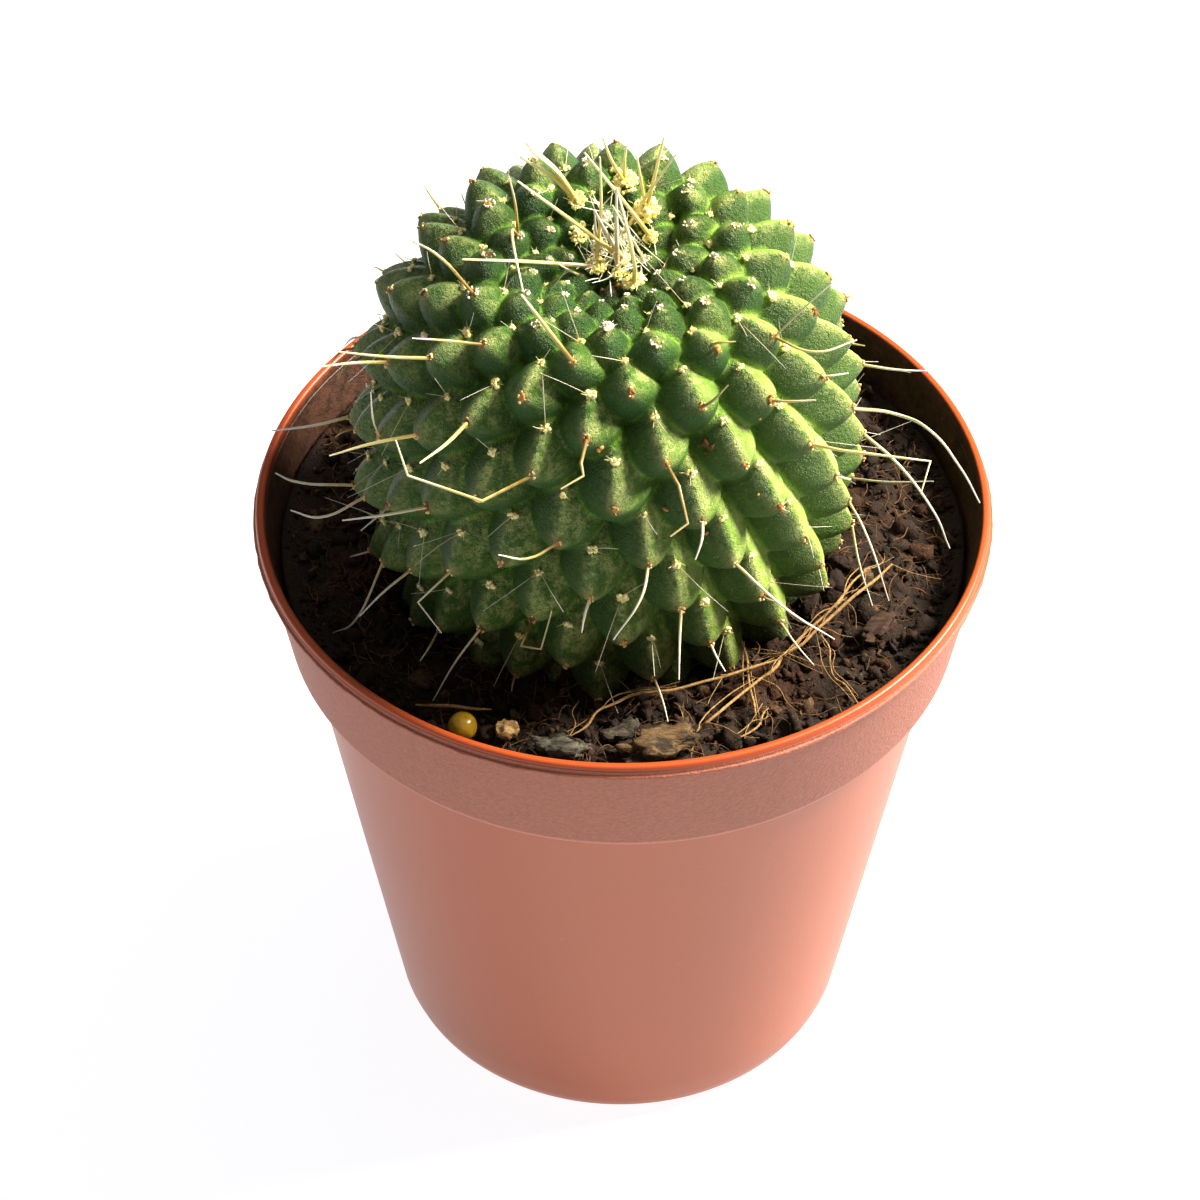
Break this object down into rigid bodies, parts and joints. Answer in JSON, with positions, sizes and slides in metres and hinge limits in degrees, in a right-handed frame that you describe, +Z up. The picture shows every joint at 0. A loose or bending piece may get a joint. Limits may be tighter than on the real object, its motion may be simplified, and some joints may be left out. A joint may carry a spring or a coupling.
{
  "type": "potted cactus",
  "caption": "Round tubercled cactus with sparse curved spines in a small moulded plastic nursery pot with potting soil.",
  "frame": {"origin": "middle of the pot's base, on the surface it stands on", "axes": "+Z straight up through the pot and the plant; -Y towards the side seen in the picture"},
  "size_m": [0.065, 0.065, 0.1045],
  "materials": {
    "pot_plastic": "satin moulded terracotta-coloured plastic with a fine grain on the collar",
    "peat_soil": "loose dark peat, matt",
    "cactus_skin": "firm waxy skin with a fine pale speckle and dusty ridges",
    "areole_wool": "short cream wool",
    "spine": "smooth horn-like spine, straw to white",
    "dry_root": "dry fibrous root",
    "bark": "rough weathered bark",
    "mineral_grain": "porous pale grain",
    "fertilizer_coating": "glossy resin coat"
  },
  "bodies": {
    "root": {"pot": "pot_plastic", "potting_soil": "peat_soil", "cactus_stem": "cactus_skin", "bark_chip": "bark", "bark_flake_1": "bark", "bark_flake_2": "bark", "bark_flake_3": "bark", "bent_spine": "spine", "crown_spine_1": "spine", "crown_spine_2": "spine", "crown_spine_3": "spine", "crown_spine_4": "spine", "crown_spine_5": "spine", "crown_spine_6": "spine", "crown_spine_7": "spine", "crown_spine_8": "spine", "crown_wool_1": "areole_wool", "crown_wool_2": "areole_wool", "crown_wool_3": "areole_wool", "crown_wool_4": "areole_wool", "fertilizer_bead": "fertilizer_coating", "golden_spine": "spine", "kinked_spine_1": "spine", "kinked_spine_2": "spine", "left_spine_1": "spine", "left_spine_2": "spine", "left_spine_3": "spine", "left_spine_4": "spine", "left_spine_5": "spine", "left_spine_6": "spine", "left_spine_7": "spine", "left_spine_8": "spine", "left_spine_9": "spine", "lower_spine_1": "spine", "lower_spine_2": "spine", "lower_spine_3": "spine", "lower_spine_4": "spine", "lower_spine_5": "spine", "lower_spine_6": "spine", "lower_spine_7": "spine", "perlite_grain": "mineral_grain", "right_spine_1": "spine", "right_spine_2": "spine", "right_spine_3": "spine", "right_spine_4": "spine", "right_spine_5": "spine", "root_strand_1": "dry_root", "root_strand_2": "dry_root", "root_strand_3": "dry_root", "root_strand_4": "dry_root", "root_strand_5": "dry_root", "root_strand_6": "dry_root", "shoulder_spine_1": "spine", "shoulder_spine_2": "spine", "straw": "dry_root"}
  },
  "joints": []
}
